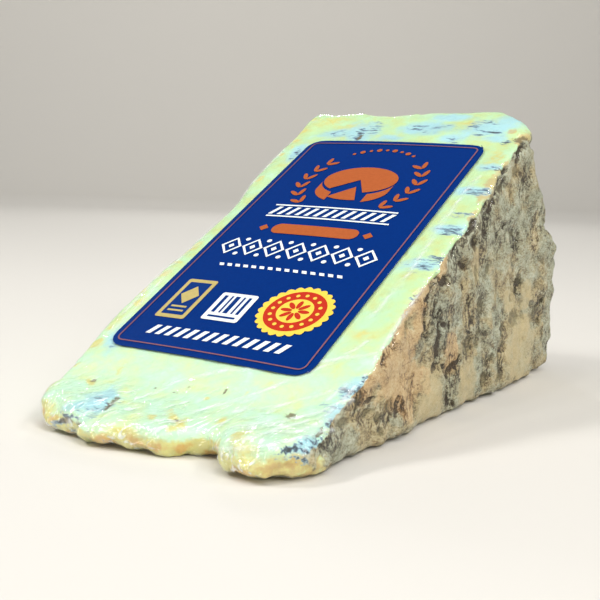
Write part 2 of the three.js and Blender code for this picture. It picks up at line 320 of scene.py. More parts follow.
darkPits = [
    (23.6, 45.9, 3.6, 0.9, 6), (24.5, 43.9, 1.0, 1.8, 5), (30.4, 46.4, 1.3, 0.9, 0),
    (17.0, 41.4, 1.8, 0.6, 0), (14.8, 38.4, 0.6, 2.0, 43), (12.1, 34.6, 1.1, 1.5, 0),
    (7.6, 35.3, 1.5, 0.5, 0), (4.6, 34.6, 0.6, 1.2, -35), (9.8, 31.6, 1.1, 2.2, 0),
    (10.6, 29.9, 1.0, 0.5, 0), (2.9, 31.7, 1.6, 1.0, 0), (1.6, 30.8, 1.5, 0.8, 0),
    (0.4, 24.9, 2.4, 0.7, 16), (-4.4, 27.7, 0.5, 1.0, 5), (-3.8, 29.6, 0.5, 0.8, 0),
    (5.2, 28.2, 0.8, 1.1, -30), (25.0, 26.7, 1.2, 0.5, 0), (26.7, 28.2, 0.5, 1.5, 35),
    (23.2, 27.1, 0.9, 0.3, 20), (18.4, 31.0, 0.9, 0.5, 0), (16.2, 29.3, 0.8, 0.6, 0),
    (40.6, 30.3, 0.6, 1.4, 0), (28.8, 19.0, 1.6, 1.2, -20), (-9.5, 22.5, 0.5, 1.6, -30),
    (-11.6, 24.2, 0.9, 0.6, 0), (-13.2, 20.6, 0.9, 0.7, 0), (0.2, 21.4, 0.4, 1.0, 0),
    (3.0, 18.6, 0.6, 1.2, -40), (-7.6, 22.8, 1.2, 0.9, 0), (-12.4, 21.8, 0.5, 1.1, 0),
    (-14.0, 17.2, 0.8, 3.4, -8), (-15.0, 14.6, 1.4, 0.4, 15), (-13.2, 14.0, 0.9, 0.6, -30),
    (-8.7, 14.8, 0.7, 3.8, 0), (-8.6, 12.6, 1.2, 2.4, 5), (-6.6, 15.7, 0.9, 0.4, 0),
    (-4.2, 15.2, 0.5, 1.0, 0), (-9.8, 9.0, 1.3, 0.8, 0), (-6.4, 8.4, 0.6, 1.1, -45),
    (-2.6, 7.8, 1.9, 0.8, -15), (0.2, 9.2, 0.8, 1.1, 35), (-4.2, 5.7, 0.6, 1.2, 20),
    (-4.0, 2.6, 1.0, 1.3, 0), (-1.6, 1.4, 0.7, 1.0, 0), (-17.2, 4.4, 0.5, 1.6, 0),
    (-25.2, 3.9, 0.5, 0.9, 20), (-23.2, 5.4, 0.8, 1.8, 12), (-21.0, 4.6, 0.5, 1.2, -10),
    (-36.4, 7.9, 0.8, 1.0, 0), (-32.4, 7.7, 1.8, 0.3, -10), (-27.0, 15.8, 0.8, 0.8, 0),
    (-28.6, 13.0, 0.7, 1.0, 0), (26.6, 20.1, 0.9, 0.7, 0), (-10.8, 18.4, 0.4, 1.6, 0),
    (41.2, 15.2, 0.8, 0.7, 0),
]
oliveHollows = [
    (28.6, 19.2, 2.6, 1.8, -20), (26.6, 20.2, 1.2, 1.0, 0), (26.6, 13.4, 2.6, 1.6, 0),
    (30.8, 13.1, 1.1, 0.9, 0), (39.0, 13.3, 2.0, 1.5, 0), (41.0, 15.2, 1.2, 1.0, 0),
    (41.8, 10.8, 1.0, 0.8, 0), (43.8, 8.2, 0.9, 1.4, 0), (21.2, 12.4, 1.6, 0.9, 0),
    (20.6, 10.4, 0.9, 1.1, 0), (22.2, 9.0, 1.4, 0.9, 0), (20.0, 6.4, 0.9, 2.0, 0),
    (20.6, 3.4, 1.5, 1.6, 0), (4.5, 10.8, 1.3, 1.5, 0), (7.6, 10.8, 1.0, 0.9, 0),
    (9.0, 12.8, 1.1, 0.8, 0), (13.5, 6.7, 1.0, 1.0, 0), (12.6, 3.2, 1.6, 1.5, 0),
    (15.5, 7.6, 0.8, 0.7, 0), (30.5, 15.9, 1.0, 0.9, 0), (24.0, 17.5, 0.8, 0.9, 0),
    (36.0, 14.7, 0.8, 0.7, 0), (38.0, 19.0, 1.0, 0.8, 0), (40.7, 23.6, 1.2, 1.0, 0),
    (28.5, 22.0, 1.0, 0.8, 0), (24.2, 41.0, 1.5, 1.3, 0), (28.5, 39.3, 1.1, 0.7, 0),
    (16.5, 37.8, 0.9, 0.9, 0), (21.6, 36.8, 1.1, 1.1, 0), (30.5, 36.0, 1.0, 0.7, 0),
    (6.2, 23.3, 0.9, 1.3, 0), (11.2, 23.8, 0.9, 1.0, 0), (16.5, 25.7, 0.8, 1.2, 0),
    (-21.0, 17.0, 1.0, 0.7, 0), (24.0, 29.5, 0.9, 0.7, 0), (9.4, 17.0, 1.4, 1.4, 0),
    (-26.0, 6.0, 1.6, 1.0, 0), (-36.2, 8.4, 1.2, 1.4, 0), (-33.0, 5.8, 1.7, 0.8, 0),
    (-39.4, 5.9, 2.4, 0.7, 0), (-30.0, 4.7, 0.8, 0.7, 0), (-28.8, 2.4, 1.0, 0.6, 0),
]
peachPatches = [
    (-24.5, 11.0, 8.0, 5.0, 28), (-3.4, 10.4, 2.6, 3.4, 0), (-20.0, 13.6, 2.6, 3.0, 0),
    (-19.6, 7.0, 3.6, 3.6, 0), (-16.4, 18.0, 2.2, 4.0, 30), (-8.8, 25.0, 2.2, 2.4, 40),
    (-14.6, 7.4, 3.0, 2.2, 0),
]
# Warmer places in the grey upper part
tanPatches = [
    (35.6, 28.0, 2.6, 4.6, 0), (24.4, 40.4, 3.0, 2.4, 0), (32.0, 41.0, 1.6, 2.8, 0),
    (-8.8, 25.0, 3.0, 2.6, 40), (11.0, 38.0, 1.6, 2.4, 30), (6.6, 25.6, 3.0, 3.0, 0),
    (20.6, 37.0, 2.4, 2.4, 0), (1.0, 21.0, 2.4, 3.0, 0), (14.0, 24.0, 2.2, 3.4, 0),
    (24.0, 24.0, 2.0, 2.6, 0), (40.0, 21.0, 2.0, 3.0, 0), (29.0, 35.6, 2.0, 2.0, 0),
]
creamPatches = [
    (-11.6, 4.2, 5.2, 4.6, 0), (4.4, 4.2, 4.0, 4.4, 0), (31.0, 7.0, 7.6, 6.4, 0),
    (23.4, 17.2, 3.8, 2.0, 10), (6.0, 24.8, 2.0, 3.0, 0), (33.0, 17.0, 3.0, 3.0, 0),
]
# Grey patches on the end. The one at y -41, z 3.4, low by the thin edge, is painted shade
ashAndShadePatches = [
    (17.4, 12.6, 3.0, 4.6, 0), (9.0, 5.4, 2.4, 5.0, 0), (20.0, 31.0, 4.0, 7.0, 10),
    (46.5, 16.0, 3.0, 14.0, 0), (-1.0, 20.0, 2.2, 6.0, 0), (43.0, 30.0, 3.0, 8.0, 0),
    (38.0, 33.0, 4.0, 6.0, 0), (8.0, 34.0, 2.2, 4.0, 20), (-41.0, 3.4, 5.5, 3.6, 0),
    (-8.0, 17.0, 3.0, 5.0, 0), (31.0, 33.0, 3.0, 6.0, 0),
]

# Veins on the upper cut face: x, y, half sizes across and along, lean
blueVeins = [
    (23.6, 19.4, 1.9, 0.4, 0), (23.6, 11.8, 2.2, 1.4, 0), (23.2, 5.3, 2.0, 0.7, 0),
    (23.6, 0.8, 2.6, 1.3, 5), (23.4, -8.0, 3.0, 1.7, -8), (24.8, -6.4, 1.8, 1.0, 0),
    (-9.6, 30.2, 1.4, 2.4, 0), (22.8, 27.8, 1.4, 0.5, -20), (25.8, -33.4, 0.7, 1.8, 0),
    (24.4, -45.6, 1.4, 1.0, 0), (25.0, -41.2, 0.8, 0.8, 0), (25.8, -35.0, 0.7, 1.6, 0),
    (24.4, -47.4, 1.4, 0.8, 0), (25.0, -15.8, 1.2, 0.5, 0), (24.0, -35.6, 2.0, 1.2, 0),
    (22.4, -46.2, 2.6, 1.4, 0), (24.6, -44.0, 1.4, 1.4, 0),
]
softVeins = [
    (-14.4, -47.2, 4.0, 1.6, -27), (-11.0, -45.4, 2.4, 1.2, -50), (-16.4, -48.8, 2.0, 1.4, 0),
    (-12.6, -49.6, 1.8, 1.4, 0), (-12.8, -43.2, 1.2, 0.5, -27), (-14.6, 30.6, 3.0, 1.4, 20),
    (-7.0, 32.2, 1.8, 2.0, 0), (2.4, 32.4, 3.2, 1.6, 5), (6.6, 32.8, 2.6, 1.6, 0),
    (11.8, 28.4, 2.2, 1.0, 0), (18.4, 30.8, 3.0, 1.2, 0), (-1.4, 29.0, 1.4, 0.7, 0),
    (16.6, 34.2, 2.4, 1.2, 0), (-9.0, 34.6, 2.0, 1.0, 0), (12.2, 27.4, 1.4, 0.7, 0),
    (17.6, 30.2, 2.6, 1.2, 0), (14.2, 32.8, 1.6, 2.2, -30), (22.8, -46.0, 3.2, 1.8, 0),
    (23.8, -43.6, 1.6, 1.0, 0), (23.6, -35.4, 2.0, 1.3, 0), (23.4, -38.4, 1.8, 1.2, 0),
    (-20.8, -31.6, 0.9, 2.2, -20), (-20.2, 23.0, 1.0, 2.0, 0), (10.0, 32.0, 1.4, 0.8, 0),
]
# Pale blue clouds around them
blueHazes = [
    (-12.2, -43.8, 2.4, 2.6, 0), (-15.4, -45.6, 2.2, 1.2, -20), (24.6, -35.4, 1.7, 2.8, 0),
    (24.6, -39.0, 1.4, 2.4, 0), (23.8, -45.4, 2.2, 1.8, 0), (22.0, -8.2, 3.4, 1.4, 0),
    (4.4, 32.4, 5.2, 2.2, 0), (16.8, 31.8, 4.6, 3.2, 0), (-9.6, 31.0, 4.4, 3.4, 0),
    (-15.4, 30.4, 3.0, 1.6, 0), (-2.0, 29.0, 2.6, 1.0, 0), (11.8, 28.6, 2.8, 1.2, 0),
    (20.0, 34.0, 3.4, 2.4, 0), (8.0, 36.0, 4.0, 1.2, 0), (22.6, 12.2, 3.0, 1.2, 0),
    (22.4, 1.2, 3.0, 1.2, 0), (22.8, 19.4, 2.4, 0.9, 0), (19.5, 28.8, 3.2, 1.2, 0),
    (-20.8, -31.6, 1.4, 3.0, -20), (-20.2, 23.6, 1.4, 3.4, 0),
]
brownSpecks = [
    (25.0, -15.2, 0.8, 0.2, -20), (25.8, -16.2, 0.5, 0.4, 0), (18.6, -40.8, 0.5, 0.4, 0),
    (24.5, 18.8, 0.6, 0.3, 0), (-10.2, -43.7, 0.45, 1.5, -8), (-15.2, -48.4, 1.4, 0.6, 0),
    (-12.4, -48.6, 0.8, 0.7, 0), (24.2, -42.6, 0.4, 0.8, 0), (25.8, 19.0, 0.8, 0.4, 0),
    (-9.2, 29.4, 0.4, 1.1, 0), (-17.6, -40.2, 0.6, 0.3, 0), (5.8, -38.4, 0.2, 0.7, 15),
    (2.4, -44.6, 0.35, 0.2, 0), (25.6, 29.2, 1.8, 1.1, 0), (18.4, -40.7, 0.8, 0.5, 0),
    (-2.2, -40.1, 0.5, 0.12, 0), (-0.6, -38.8, 0.24, 0.24, 0), (-5.6, -40.0, 0.16, 0.12, 0),
]
butterSpots = [
    (-1.6, -45.0, 0.8, 0.45, 30), (2.0, -44.6, 2.2, 0.45, 25), (-17.6, -40.6, 1.1, 0.4, 20),
    (-14.6, -37.8, 0.9, 0.8, 0), (22.4, 31.2, 1.0, 0.9, 0), (20.6, -24.6, 1.6, 1.0, 0),
    (-12.8, 32.8, 4.0, 1.2, 0), (9.4, -38.8, 0.3, 0.9, 10), (14.0, 34.0, 3.0, 0.9, 0),
    (22.6, 22.6, 1.6, 3.0, 0), (13.6, -45.4, 0.9, 0.9, 0), (9.0, -43.6, 0.5, 0.7, 0),
    (4.0, -40.4, 0.4, 0.3, 0), (15.0, -47.4, 2.0, 1.4, 0), (-18.2, 35.5, 3.0, 1.6, 0),
    (3.2, -45.6, 0.7, 1.3, 20), (-19.6, -20.0, 1.2, 3.0, 0), (14.6, -49.2, 2.4, 1.0, 0),
    (18.8, -50.0, 2.6, 1.0, 0), (-3.6, -48.4, 3.0, 0.9, 0), (-21.4, -46.6, 1.4, 1.2, 0),
]
# Where the crust's tan shows through the paste at the edge of the upper face
rimPatches = [
    (25.8, 29.6, 1.6, 2.6, 0), (22.4, 31.4, 0.8, 0.7, 0), (25.6, 13.8, 1.6, 4.8, 0),
    (25.6, 5.0, 0.8, 1.4, 0), (26.2, -13.8, 1.0, 2.0, 0), (25.6, 21.0, 0.6, 1.6, 0),
    (26.0, -22.0, 0.5, 2.4, 0),
]
# Paste that has slumped over the crust: y, z on the flat end
slumps = [
    (25.0, 50.6, 5.4, 3.4, -4), (18.6, 43.6, 2.0, 1.4, -30),
]
# Each is a share from 0 to 1 that the mesh carries to the material
cheeseMasks = (
    "rind", "crack", "pit", "olive", "peach", "cream", "ashAndShade", "vein", "sheet", "haze", "speck", "butter",
    "amber", "rim",
)


def blend(name, value):
    return smoothStep(*blends[name], value)


# The blue sheets that run through the paste, met by any cut, and the pale blue around them
def veinsInside(spot):
    bend = Vector()
    for length, height, slice in cheese["veinBend"]:
        bend += height * Vector([wave(spot, length, slice + step) for step in (0, 3, 6)])
    vein = haze = 0.0
    for length, layer in cheese["veinSheets"]:
        sheet = abs(wave(spot + bend, length, layer))
        patchy = wave(spot, 0.8 * length, layer + 3) + 0.4 * wave(spot, 3, layer + 5)
        vein = max(vein, blend("vein", sheet) * blend("veinPatchy", patchy))
        haze = max(haze, blend("innerHaze", sheet) * blend("hazePatchy", patchy))
    return vein, haze


# Lumps along the upright corner between the end and the back
def cornerSwell(spot, normal, inside):
    facing = Vector(crust["cornerFacing"])
    share = blend("corner", inside["rind"] + inside["back"]) * blend("cornerTurn", normal.dot(facing))
    if share == 0:
        return Vector()
    steps = crust["cornerSwell"]
    out = 0.0
    for (low, outLow), (high, outHigh) in zip(steps, steps[1:]):
        if low <= spot.z < high:
            out = outLow + (outHigh - outLow) * (spot.z - low) / (high - low)
    return facing * share * out * (1 + waves(spot, crust["cornerRough"]))


# Cracks between the crust's plates, on a face laid flat
def crustCracks(u, v, layer):
    lengthU, lengthV, highU, highV = crust["bend"]
    bend = Vector((u / lengthU, v / lengthV, layer))
    bentU = u + highU * noise.noise(bend)
    bentV = v + highV * noise.noise(bend + Vector((7, 3, 1)))
    width, height = crust["plate"]
    near = noise.voronoi(Vector((bentU / width, bentV / height, layer)))[0]
    areaWidth, areaHeight = crust["crackParting"]
    parted = blend("crackParting", noise.noise(Vector((u / areaWidth, v / areaHeight, layer + 4))))
    return smoothStep(*crust["crackShare"], near[1] - near[0]) * parted


def crustRelief(spot, u, v, layer, marks):
    creamCalm, peachCalm = crust["plateCalm"]
    rough = 1 - creamCalm * max(marks["cream"], peachCalm * marks["peach"])
    height, width, length = crust["flute"]
    relief = height * noise.noise(Vector((u / width, v / length, layer + 2))) * rough
    height, length = crust["grain"]
    relief += height * wave(spot, length) * rough
    height, length = crust["knob"]
    relief += height * (wave(spot, length, 7) - crust["knobSink"]) * rough
    relief -= crust["oliveDepth"] * marks["olive"] + crust["crackDepth"] * marks["crack"]
    return relief - crust["pitDepth"] * marks["pit"]


def pasteRelief(spot, marks, flat):
    nose = blend("nose", spot.y) * (1 - cheese["crumbleOnTop"] * flat)
    height, length = cheese["crumble"]
    fineShare, finer = cheese["fineCrumble"]
    relief = waves(spot, cheese["swells"])
    relief += nose * height * (wave(spot, length, 3) - cheese["crumbleSink"])
    relief += nose * fineShare * height * wave(spot, length / finer, 13)
    least, length, slice = cheese["veinRough"]
    rough = max(0.0, least + wave(spot, length, slice))
    relief -= cheese["veinDepth"] * max(marks["vein"], marks["sheet"]) * rough
    return relief - cheese["speckDepth"] * marks["speck"]


# How much of the surface here is crust
def rindShare(vert, spot, inside):
    outward = spot - apex
    outward.x = 0
    fray = waves(spot, cheese["rindFray"])
    endTurn = vert.normal.x + fray - cheese["tipLean"] * blend("tip", spot.y)
    backTurn = vert.normal.dot(outward.normalized()) + fray
    endRind = smoothStep(*cheese["rindTurn"], endTurn) * blend("endIn", inside["rind"])
    backRind = smoothStep(*cheese["rindTurn"], backTurn) * blend("backIn", inside["back"])
    footRind = blend("footIn", min(inside["rind"], inside["back"])) * blend("footUp", spot.z)
    return max(endRind, backRind, footRind * blend("footFront", spot.y))


# Both give the cracks back. On the end the marks are where the photo shows them
def endMarks(spot, inside, u, v, marks):
    fray = waves(spot, crust["fray"])
    broad = waves(spot, crust["broadFray"]) + fray
    marks["cream"] = markShare(creamPatches, u, v, crust["creamFray"] * broad)
    marks["olive"] = markShare(oliveHollows, u, v, crust["oliveFray"] * fray)
    marks["pit"] = markShare(darkPits, u, v, crust["pitFray"] * fray, crust["pitSoft"])
    tan = markShare(tanPatches, u, v, broad, crust["tanSoft"])
    edge = blend("edgeUnder", inside["slope"] + waves(spot, crust["edgeWave"]))
    edge *= blend("edgeTop", spot.y) * blend("edgeFoot", spot.y)
    ashHigh = crust["ashHigh"] * blend("ashUp", v + waves(spot, crust["ashWave"]))
    marks["peach"] = max(markShare(peachPatches, u, v, broad), edge, crust["peachOfTan"] * tan)
    # Grey of the crust, with painted shade at its low front corner by the thin edge
    marks["ashAndShade"] = max(markShare(ashAndShadePatches, u, v, broad), ashHigh) * (1 - crust["ashUnderTan"] * tan)
    return crust["placedCracks"] * markShare(crackAreas, u, v, broad, crust["crackSoft"])


def backMarks(spot, marks):
    for name, (share, start, end, length, slice) in backPatches.items():
        marks[name] = share * smoothStep(start, end, wave(spot, length, slice))
    upright = Vector((spot.x, spot.y, spot.z / crust["backCrackStretch"]))
    return blend("backCracks", wave(upright, *crust["backCracks"]))


def carveCrust(spot, inside, onEnd, u, v, marks):
    layer = 0.0 if onEnd else 20.0
    placed = endMarks(spot, inside, u, v, marks) if onEnd else backMarks(spot, marks)
    apart = blend("cornerApart", abs(inside["rind"] - inside["back"]))
    grown = crustCracks(u, v, layer) * apart * (1 - crust["cracksOffCream"] * marks["cream"])
    atFront = crust["cracksAtFront"]
    grown *= atFront + (1 - atFront) * blend("crackFront", spot.y)
    marks["crack"] = max(crust["grownCracks"]["end" if onEnd else "back"] * grown, placed)
    return crustRelief(spot, u, v, layer, marks)


def carvePaste(vert, spot, inside, marks):
    fray = waves(spot, cheese["fray"])
    marks["sheet"], marks["haze"] = veinsInside(spot)
    marks["haze"] *= cheese["innerHaze"]
    marks["rim"] = cheese["rim"] * blend("rimIn", inside["rind"]) * blend("rimPatchy", wave(spot, 3, 21))
    if inside["slope"] < cheese["markReach"]:
        x, y = pressed(spot, inside)
        sharp = markShare(blueVeins, x, y, cheese["veinFray"] * fray, cheese["veinSoft"])
        soft = markShare(softVeins, x, y, cheese["veinFray"] * fray, cheese["veinSoft"])
        marks["vein"] = max(sharp, cheese["softVeins"] * soft)
        marks["sheet"] = 0.0
        marks["haze"] = markShare(blueHazes, x, y, fray, cheese["hazeSoft"])
        marks["speck"] = markShare(brownSpecks, x, y, fray)
        beyond, share = cheese["butterUpSlope"]
        marks["butter"] = markShare(butterSpots, x, y, fray, cheese["butterSoft"])
        marks["butter"] *= share if y > beyond else 1.0
        marks["rim"] = max(marks["rim"], markShare(rimPatches, x, y, fray, 0.5))
    # Buttery along the pale face's upper edge and under the thin edge, where fat gathers
    edge = blend("paleIn", inside["pale"]) * blend("paleUnder", inside["slope"])
    edge *= blend("palePatchy", wave(spot, 2.4, 17))
    under = blend("under", vert.normal.z + 0.2 * wave(spot, 2.6, 7))
    low = blend("tip", spot.y) * blend("noseLow", spot.z) * under
    patchy = wave(spot, *cheese["underPatches"])
    share, change = cheese["underButter"]
    marks["amber"] = low * blend("underPatchy", patchy) * blend("noseFoot", spot.z)
    marks["butter"] = max(marks["butter"], cheese["paleEdge"] * edge, low * (share + change * patchy))
    marks["rim"] = max(marks["rim"], cheese["rim"] * low * blend("rimUnder", inside["rind"]))
    return pasteRelief(spot, marks, blend("flat", vert.normal.z))


def carveCheese(bm):
    layers = {name: bm.verts.layers.float.new(name) for name in cheeseMasks}
    for vert in bm.verts:
        spot = vert.co / mm
        inside = underFaces(spot)
        onEnd = inside["rind"] < inside["back"]
        u, v = pressed(spot, inside, True) if onEnd else (spot.x, spot.z)
        rind = rindShare(vert, spot, inside)
        if onEnd and spot.z > cheese["slumpsAbove"]:
            rind *= 1 - markShare(slumps, u, v, waves(spot, cheese["slumpFray"]))
        marks = dict.fromkeys(cheeseMasks, 0.0)
        marks["rind"] = rind
        relief = 0.0
        if rind > 0.01:
            relief += rind * carveCrust(spot, inside, onEnd, u, v, marks)
        if rind < 0.99:
            relief += (1 - rind) * carvePaste(vert, spot, inside, marks)
        depth = max(cheese["underFilm"] - relief, -cheese["proud"])
        vert.co += (cornerSwell(spot, vert.normal, inside) - vert.normal * depth) * mm
        vert.co.z = max(vert.co.z, cheese["foot"] * mm)
        for name, layerOf in layers.items():
            vert[layerOf] = marks[name]
    bm.normal_update()


def cheeseMaterial():
    # Blue-veined cheese: crumbly cut paste, pale and slightly see-through, moist under film,
    # and a dry natural crust of grey, tan and orange with dark cracks.
    material, tree = newMaterial("bluePasteAndCrust")
    place = addNode(tree, "TexCoord").outputs["Object"]
    masks = {}
    for name in cheeseMasks:
        masks[name] = addNode(tree, "Attribute", attribute_name=name).outputs["Fac"]
    # The crust is drawn out along the rind, veins across the slice and cracks upwards
    upright = addNode(tree, "Mapping", {"Vector": place, "Scale": (1.0, 0.55, 1.0)}).outputs[0]
    sideways = addNode(tree, "Mapping", {"Vector": place, "Scale": (0.22, 1.0, 1.0)}).outputs[0]
    fibrous = addNode(tree, "Mapping", {"Vector": place, "Scale": (1.0, 1.0, 0.45)}).outputs[0]
    grains = (  # name, direction, mm, detail and roughness
        ("clump", place, 4.4, 8, 0.62), ("crumb", place, 0.9, 4, 0.6), ("fleck", place, 0.45, 2, 0.5),
        ("vein", sideways, 0.6, 5, 0.65), ("web", fibrous, 1.3, 5, 0.6), ("mottle", upright, 3.0, 4, 0.55),
        ("crust", upright, 2.2, 9, 0.78), ("grit", upright, 0.32, 3, 0.6), ("seam", upright, 3.6, 6, 0.68),
    )
    grain = {}
    for name, along, size, detail, roughness in grains:
        grain[name] = addNode(tree, "TexNoise", {
            "Vector": along, "Scale": 1 / (size * mm), "Detail": detail, "Roughness": roughness,
            "Distortion": 0.2,
        }).outputs["Fac"]

    def reckoned(operation, *values):
        return addNode(tree, "Math", dict(enumerate(values)), operation=operation).outputs[0]

    def ranged(value, low, high, top=1.0):
        return addNode(
            tree, "MapRange", {0: value, 1: low, 2: high, 3: 0.0, 4: top}, interpolation_type="SMOOTHSTEP"
        ).outputs[0]

    # A mask whose border is torn by a grain
    def torn(mask, noiseName, middle=0.5, soft=0.12, top=1.0, tear=2.0):
        ragged = reckoned("MULTIPLY_ADD", grain[noiseName], tear, mask)
        return ranged(ragged, middle - soft + tear / 2, middle + soft + tear / 2, top)

    def ramped(value, stops):
        node = addNode(tree, "ValToRGB", {0: value})
        for at, shade in stops[1:-1]:
            node.color_ramp.elements.new(at)
        for element, (at, shade) in zip(node.color_ramp.elements, stops):
            element.position = at
            element.color = linear(shade)
        return node.outputs[0]

    def painted(under, layers):
        for share, shade in layers:
            shade = linear(shade) if isinstance(shade, str) else shade
            under = addNode(tree, "Mix", {0: share, 6: under, 7: shade}, data_type="RGBA").outputs[2]
        return under

    # A patch broken up by a grain, and never outside its mask
    def patched(mask, noiseName, top=1.0, tear=3.0, soft=0.25):
        ragged = reckoned("MULTIPLY_ADD", reckoned("SUBTRACT", grain[noiseName], 0.5), tear, mask)
        return reckoned("MULTIPLY", ranged(ragged, 0.5 - soft, 0.5 + soft, top), ranged(mask, 0.04, 0.3))

    # Paste: from buttery hollows over cream to minty white crumbs, yellower towards the outer rind
    height = addNode(tree, "SeparateXYZ", {"Vector": place}).outputs["Z"]
    pasteTone = reckoned("MULTIPLY_ADD", grain["clump"], 1.5, -0.25)
    paste = ramped(pasteTone, [
        (0.2, "#d8e6a4"), (0.36, "#d3ebbe"), (0.5, "#cbebc6"), (0.62, "#c8ecce"), (0.8, "#d4f2de"),
    ])
    agedPaste = ramped(pasteTone, [
        (0.2, "#c9cf86"), (0.36, "#c6d996"), (0.5, "#c2dea4"), (0.62, "#bee0b0"), (0.8, "#c4e8c6"),
    ])
    paste = painted(paste, [
        (ranged(height, 3 * mm, 22 * mm, 0.9), agedPaste),
        (patched(masks["butter"], "crumb", 0.8, 1.8, 0.5), "#dccc70"),
        (patched(masks["amber"], "crumb", 0.8, 2.4, 0.45), "#d0a254"),
        (patched(masks["rim"], "crumb", 0.85, 2.0, 0.45), "#c6ae78"),
        (patched(masks["haze"], "clump", 0.85, 1.6, 0.5), "#a6d4e0"),
    ])
    # Veins: thin dark lines on the upper face, softer bands where a sheet meets another cut
    lines = reckoned("MULTIPLY_ADD", grain["vein"], 4.0, reckoned("SUBTRACT", masks["vein"], 2.35))
    bands = reckoned("MULTIPLY_ADD", grain["crumb"], 2.6, -1.75)
    bands = reckoned("MULTIPLY_ADD", masks["sheet"], 0.9, bands)
    veinTone = reckoned("MAXIMUM", lines, bands)
    veined = reckoned("MAXIMUM", masks["vein"], masks["sheet"])
    veins = ramped(veinTone, [
        (0.25, "#b4d6e0"), (0.42, "#8aaabc"), (0.6, "#5f7a8e"), (0.8, "#42505f"), (1.0, "#2e3539"),
    ])
    paste = painted(paste, [
        (reckoned("MULTIPLY", ranged(veinTone, 0.2, 0.5, 0.95), ranged(veined, 0.05, 0.3)), veins),
        (patched(masks["speck"], "fleck", 0.85, 2.2), "#6d5c38"),
    ])

    # Crust: one rough tone, calmer on the smooth plates and darkest in pits and cracks, seen in
    # three colourings
    crustTone = reckoned("MULTIPLY_ADD", grain["crust"], 1.8, -0.82)
    crustTone = reckoned("MULTIPLY_ADD", grain["grit"], 0.95, crustTone)
    calm = reckoned("MULTIPLY", reckoned("MAXIMUM", masks["peach"], masks["cream"]), 0.35)
    crustTone = reckoned("MULTIPLY_ADD", reckoned("SUBTRACT", 0.6, crustTone), calm, crustTone)
    web = reckoned("ABSOLUTE", reckoned("SUBTRACT", grain["web"], 0.5))
    web = ranged(reckoned("MULTIPLY_ADD", masks["crack"], -0.05, web), 0.035, 0.0)
    pits = patched(reckoned("MULTIPLY", masks["pit"], 0.85), "crust", 1.0, 4.5, 0.14)
    seams = ranged(reckoned("ABSOLUTE", reckoned("SUBTRACT", grain["seam"], 0.5)), 0.022, 0.002)
    hollows = patched(reckoned("MULTIPLY", masks["olive"], 0.75), "crust", 1.0, 4.5, 0.3)
    for share, deeper in (
        (masks["crack"], 0.03),
        (reckoned("MULTIPLY", web, ranged(masks["crack"], 0.04, 0.5)), -0.32),
        (reckoned("MULTIPLY", seams, ranged(grain["mottle"], 0.42, 0.56)), -0.2),
        (hollows, -0.2),
        (pits, -0.42),
        (masks["pit"], -0.06),
    ):
        crustTone = reckoned("MULTIPLY_ADD", share, deeper, crustTone)
    tan = ramped(crustTone, [
        (0.12, "#3a2e1e"), (0.28, "#6b583a"), (0.42, "#9c8c64"), (0.55, "#b9a97f"), (0.68, "#c8ba92"),
        (0.85, "#d4caa8"),
    ])
    grey = ramped(crustTone, [
        (0.12, "#38322a"), (0.28, "#64604a"), (0.42, "#8c8d76"), (0.55, "#a8aa92"), (0.68, "#b8bca6"),
        (0.85, "#cbcfbc"),
    ])
    peach = ramped(crustTone, [
        (0.12, "#4a3622"), (0.28, "#8a683e"), (0.42, "#bb9564"), (0.55, "#cfac7c"), (0.68, "#d8bd8c"),
        (0.85, "#e0cea4"),
    ])
    crustColour = painted(tan, [
        (ranged(grain["mottle"], 0.42, 0.62, 0.7), grey),
        # Grey where the ash mask is; at the low front corner this grey is painted shade
        (patched(masks["ashAndShade"], "crust", 0.8, 3.0, 0.4), grey),
        (patched(masks["peach"], "crust", 0.8, 3.0, 0.45), peach),
        (ranged(grain["crumb"], 0.55, 0.68, 0.28), peach),
        (patched(masks["cream"], "crust", 0.5), "#d2bf90"),
        (reckoned("MULTIPLY", hollows, 0.5), "#77704c"),
        (reckoned("MULTIPLY", pits, 0.5), "#55452e"),
    ])
    colour = painted(paste, [(torn(masks["rind"], "crumb", 0.5, 0.2, 1.0, 1.2), crustColour)])
    crustHeight = reckoned("MULTIPLY", crustTone, masks["rind"])
    relief = reckoned("MULTIPLY_ADD", grain["crumb"], 0.36, reckoned("MULTIPLY", crustHeight, 0.4))
    bump = addNode(tree, "Bump", {"Height": relief, "Strength": 0.8, "Distance": 0.8 * mm}).outputs[0]
    shader = addNode(tree, "BsdfPrincipled", {
        "Base Color": colour, "Roughness": 0.55, "IOR": 1.4, "Normal": bump,
        "Subsurface Weight": 0.1, "Subsurface Radius": (1.0, 0.9, 0.6), "Subsurface Scale": 1.0 * mm,
    })
    addNode(tree, "OutputMaterial", {"Surface": shader.outputs[0]})
    return material


def makeCheese(bm):
    carveCheese(bm)
    piece = newPiece("cheese", bm.copy())
    piece.data.shade_smooth()
    piece.data.materials.append(cheeseMaterial())
    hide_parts("cheese_wedge")
    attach(piece, "root")
    print("cheese made,", len(piece.data.polygons), "faces")


# Film: clear cling film pulled tight, bridging the hollows and creased where it gathers

film = {
    "lift": 0.1,  # mm over the cheese
    "least": 0.04,
    "smoothed": 3,  # rounds, for the hollows that it bridges
    "ripple": (0.04, 7.0, 3),  # height and length in mm, slice of the noise
    "pucker": (0.24, 2.1, 4),
    "edgePucker": 0.4,  # share of it along the edges away from the thin one
    "creaseWidth": 0.4,
    "creaseReach": 3,  # widths
    "flatOnRind": 0.95,
}
blends.update({
    "filmNose": (-36, -45),
    "filmEdge": (3.2, 0.8),
    "filmOnRind": (0.25, 0.5),
    "filmUp": (1, 4),
    "filmPatchy": (-0.1, 0.3),
})
